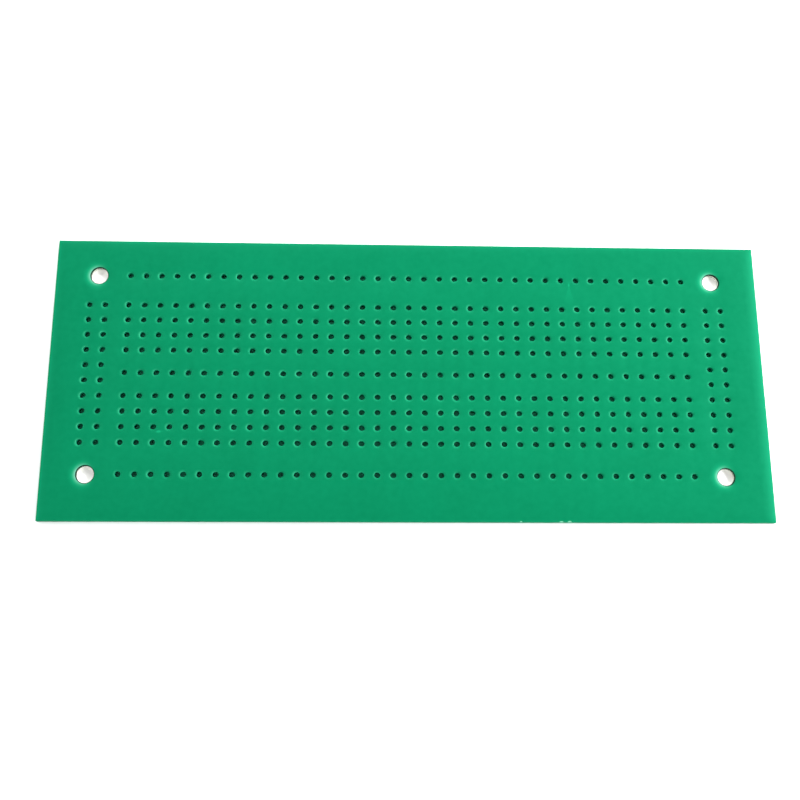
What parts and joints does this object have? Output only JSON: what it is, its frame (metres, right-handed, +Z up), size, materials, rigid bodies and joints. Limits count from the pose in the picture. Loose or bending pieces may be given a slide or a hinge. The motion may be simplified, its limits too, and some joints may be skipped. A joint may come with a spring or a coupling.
{
  "type": "prototype board",
  "caption": "Flat punched circuit board for hand soldering: a grid of lead holes in green-coated laminate, solder pads and tracks below, a mounting hole near each corner.",
  "frame": {"origin": "middle of the lower face, at the centre of the panel's outline", "axes": "+X along the board's length to the right of the picture, +Y across it away from the camera, +Z up out of the component face"},
  "size_m": [0.116, 0.0464, 0.0012],
  "materials": {
    "laminate": "bare paper and glass laminate, punched and scored, matt and slightly fibrous",
    "solder_mask": "green screen-printed solder mask, semi-gloss, faintly mottled",
    "tinned_copper": "copper foil with a thin hot tin coat, bright and slightly domed on each pad"
  },
  "bodies": {
    "root": {"laminate_panel": "laminate", "upper_mask": "solder_mask", "lower_mask": "solder_mask", "back_rail": "tinned_copper", "centre_rail": "tinned_copper", "front_rail": "tinned_copper", "back_column_strips": "tinned_copper", "front_column_strips": "tinned_copper", "left_outer_rail": "tinned_copper", "left_inner_rail": "tinned_copper", "right_inner_rail": "tinned_copper", "right_outer_rail": "tinned_copper"}
  },
  "joints": []
}
